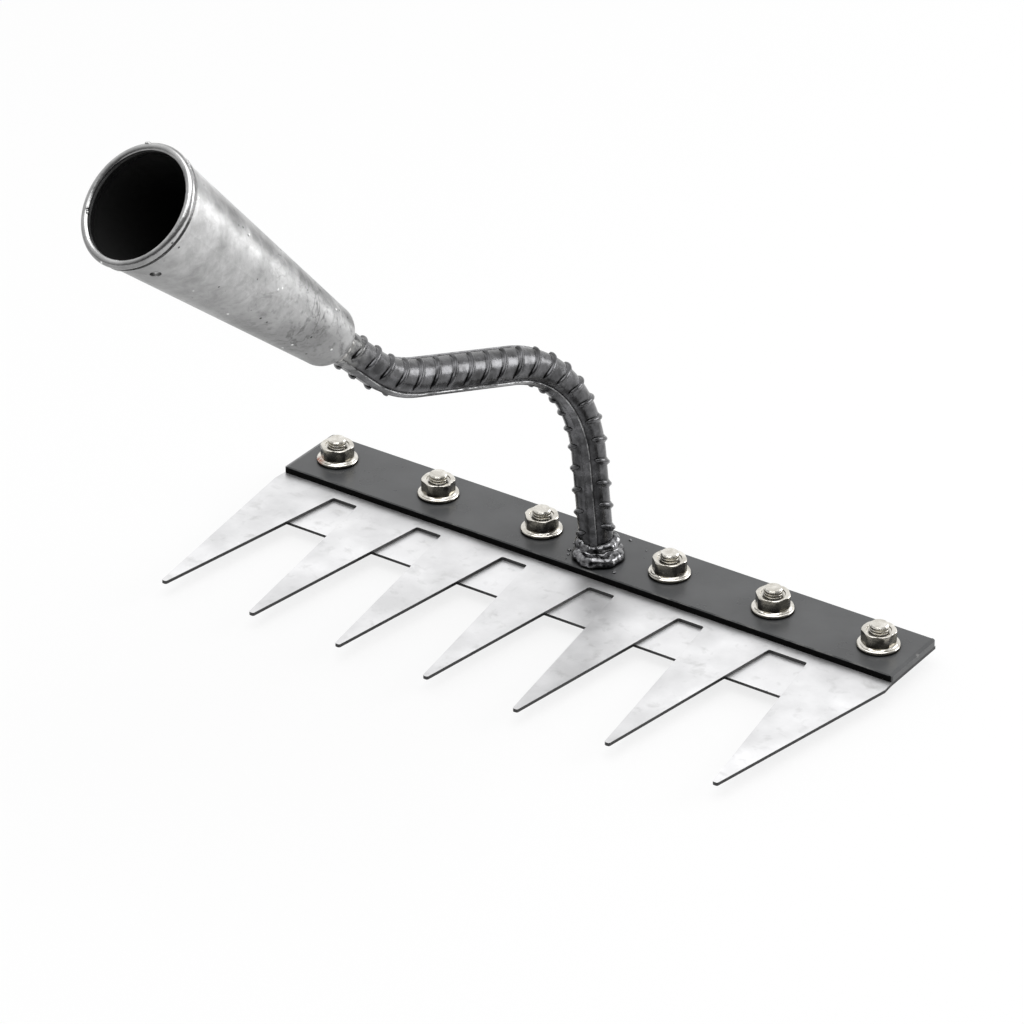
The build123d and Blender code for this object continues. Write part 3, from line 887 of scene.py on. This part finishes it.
# %% [markdown]
# Each rib's middle line is an arc round the rod that climbs at 30 degrees, in two rows like a
# fishbone. Only these lines are needed to start the tree.

# %% Rounded backs on the cross ribs
rib_pitch = 8.07
rib_reach = math.radians(64)
rib_climb = math.tan(math.radians(30))
rib_points = 15
line_radius = 5.85
socket_clearance = 5.0
rib_verts, rib_edges = [], []
for row, distance in ((1, 9.3), (-1, 6.9)):
    while distance < neck_length - socket_clearance:
        centre, way, side = along_neck(distance)
        outward = way.cross(side) * row
        for n in range(rib_points):
            angle = rib_reach * (2 * n / (rib_points - 1) - 1)
            spoke = outward * math.cos(angle) + side * math.sin(angle)
            climb_mm = line_radius * math.sin(angle) * rib_climb
            rib_verts.append(centre + (spoke * line_radius + way * climb_mm) * MM)
            if n:
                rib_edges.append((len(rib_verts) - 2, len(rib_verts) - 1))
        distance += rib_pitch
rib_backs = grow("rounded_rib_backs", mesh_of("rib_lines", rib_verts, rib_edges), rib_tree, {
    "Half Width": 0.82 * MM, "Finish": lacquer})
finish_piece(rib_backs, lacquer)

# %% [markdown]
# The mouth's rim is rolled outwards. The sheet's cut end comes to lie on the tube a few
# millimetres behind the bead, as a thin bright ledge with a ragged edge. It is a ring of
# quads whose back edge wanders by about two millimetres.

# %% Ragged end of the rolled rim
def rolled_edge(name, start_mm, width_mm, proud_mm, steps=180, wander_steps=6, seed=4):
    """A ledge round the socket, from a depth behind the mouth to a ragged edge."""
    rng = random.Random(seed)
    wander = [rng.uniform(0.05, 1.2) for n in range(steps // wander_steps)]
    sunk_mm = -0.3
    verts, faces = [], []
    for n in range(steps):
        angle = 2 * math.pi * n / steps
        spoke = across * math.cos(angle) + along * math.sin(angle)
        share = n / wander_steps
        first, second = wander[int(share) % len(wander)], wander[(int(share) + 1) % len(wander)]
        ragged = first + (second - first) * (share % 1) + rng.uniform(-0.08, 0.08)
        end_mm = start_mm + width_mm * ragged
        front = ((start_mm, sunk_mm), (start_mm, proud_mm))
        back = ((end_mm, proud_mm), (end_mm, sunk_mm))
        for depth_mm, lift_mm in front + back:
            radius = throat_radius + socket_wall + (lift_mm - socket_taper * depth_mm) * MM
            verts.append(mouth - handle_way * depth_mm * MM + spoke * radius)
    for n in range(steps):
        here, there = 4 * n, 4 * ((n + 1) % steps)
        for side in range(4):
            turn = (side + 1) % 4
            faces.append((here + side, there + side, there + turn, here + turn))
    piece = bpy.data.objects.new(name, mesh_of(name, verts, faces=faces))
    bpy.context.scene.collection.objects.link(piece)
    outwards(piece.data)
    return piece


finish_piece(rolled_edge("rolled_rim_edge", 3.3, 2.0, 0.5), zinc, smooth=False)

# %% [markdown]
# The long rib stands highest on the rod, so its corner rubs bare first. A bright thin line
# runs along it from the foot to the socket. The tree for the ribs sweeps it too, and the
# line on the rib's other corner keeps its lacquer.

# %% Corners of the long rib
worn_edge, tree, shader, place = start_finish("bare_worn_steel_edge", 1.0, 0.25)
rubbed = clouds(tree, place, 5, detail=4, low=0.4, high=0.55)
fill(tree, shader, {"Base Color": coats(tree, "4a4a4b", ([rubbed], 1, "a4a4a5"))})
rib_top = 6.1
rib_corner_aside = 1.08


def rib_corner(name, row, half_width_mm, finish):
    """A thin line along one corner of the long rib that the viewer sees."""
    verts = []
    for distance in range(3, int(neck_length) - 4):
        centre, way, side = along_neck(distance)
        verts.append(centre + (side * rib_top + way.cross(side) * row * rib_corner_aside) * MM)
    line = mesh_of(name, verts, [(n, n + 1) for n in range(len(verts) - 1)])
    piece = grow(name, line, rib_tree, {"Half Width": half_width_mm * MM, "Finish": finish})
    return finish_piece(piece, finish)


rib_corner("long_rib_worn_corner", 1, 0.24, worn_edge)
rib_corner("long_rib_dark_corner", -1, 0.25, lacquer)

# %% [markdown]
# The rolled rim has a few spurs and a lump where the sheet's lap meets the rim, and the sheared
# tooth edges carry small burrs. Both are drops of metal, so the tree for weld drops makes them.

# %% Burrs on the rim and the teeth
def chain(first, last, count):
    """Places in a row from one point to another."""
    return [first.lerp(last, n / (count - 1)) for n in range(count)]


rim_spurs = chain(from_bar(-43.8, -174.3, 208.1), from_bar(-42.4, -174.3, 208.2), 4)
rim_spurs += chain(from_bar(-27.0, -176.6, 207.6), from_bar(-23.4, -180.2, 205.6), 9)
rim_spurs += chain(from_bar(-54.3, -189.8, 190.6), from_bar(-53.6, -190.4, 189.6), 3)
rim_burrs = grow("rim_burrs", rim_spurs, drops_tree, drops_of(0.55, 0.3, 1.0, 2, zinc))
tooth_places = ((-104.1, -60.7), (-69.6, -60.0), (0.4, -61.7), (70.2, -60.1))
tooth_spots = [from_bar(x, y, -0.2) for x, y in tooth_places]
tooth_burrs = grow("tooth_burrs", tooth_spots, drops_tree, drops_of(0.4, 0.4, 0.7, 6, blade_steel))
finish_piece(rim_burrs, zinc)
finish_piece(tooth_burrs, blade_steel)

# %% [markdown]
# The floor is a plain white sweep. The camera sees most of it as its own glow, nearly pure
# white as in the photograph, and the rest is a matt surface that takes a soft trace of shadow.

# %% Floor
half = 6.0
glow_share = 0.8
floor_corners = [(-half, -half, ground), (half, -half, ground), (half, half, ground), (-half, half, ground)]
floor = bpy.data.objects.new("floor", mesh_of("floor", floor_corners, faces=[(0, 1, 2, 3)]))
bpy.context.scene.collection.objects.link(floor)
sweep = bpy.data.materials.new("white_sweep")
sweep.use_nodes = True
tree = sweep.node_tree
tree.nodes.clear()
matt = add(tree, "ShaderNodeBsdfDiffuse", {"Color": "ececec"})
glow = add(tree, "ShaderNodeEmission", {"Color": "ffffff", "Strength": 1.0})
camera_ray = add(tree, "ShaderNodeLightPath").outputs["Is Camera Ray"]
seen = add(tree, "ShaderNodeMath", [camera_ray, glow_share], operation="MULTIPLY")
both = add(tree, "ShaderNodeMixShader", [seen, matt, glow])
add(tree, "ShaderNodeOutputMaterial", {"Surface": both})
floor.data.materials.append(sweep)
print("floor at height", round(ground, 4))

# %% [markdown]
# Metal only looks like metal when it has something light and something dark to mirror. A
# wide box overhead gives the even light, a wall behind on the right gives the long sheen on
# the socket and the gooseneck, and the room is pale behind and dark on the camera's side.

# %% Light
def soft_box(name, azimuth, elevation, distance, size, power):
    """An area lamp that looks at the rake head."""
    lamp = bpy.data.lights.new(name, "AREA")
    lamp.shape = "RECTANGLE"
    lamp.size, lamp.size_y = size
    lamp.energy = power
    look_at_rake(name, lamp, azimuth, elevation, distance)


soft_box("overhead", 20, 80, 1.6, (1.5, 1.5), 14)
soft_box("back_right_wall", 142, 16, 1.6, (1.0, 0.7), 11)

world = bpy.data.worlds.new("studio")
bpy.context.scene.world = world
world.use_nodes = True
tree = world.node_tree
tree.nodes.clear()
direction = add(tree, "ShaderNodeTexCoord").outputs["Generated"]
pale_side = towards(camera_azimuth + 180, 30)
behind = add(tree, "ShaderNodeVectorMath", [direction, pale_side], operation="DOT_PRODUCT")
level = add(tree, "ShaderNodeMapRange", [behind, -0.4, 0.7, 0.07, 1.0])
room = add(tree, "ShaderNodeBackground", {"Color": "ffffff", "Strength": level})
white = add(tree, "ShaderNodeBackground", {"Color": "ffffff", "Strength": 1.0})
camera_ray = add(tree, "ShaderNodeLightPath").outputs["Is Camera Ray"]
both = add(tree, "ShaderNodeMixShader", [camera_ray, room, white])
add(tree, "ShaderNodeOutputWorld", {"Surface": both})

bpy.context.scene.view_settings.view_transform = "Standard"
print("room:", world.name)
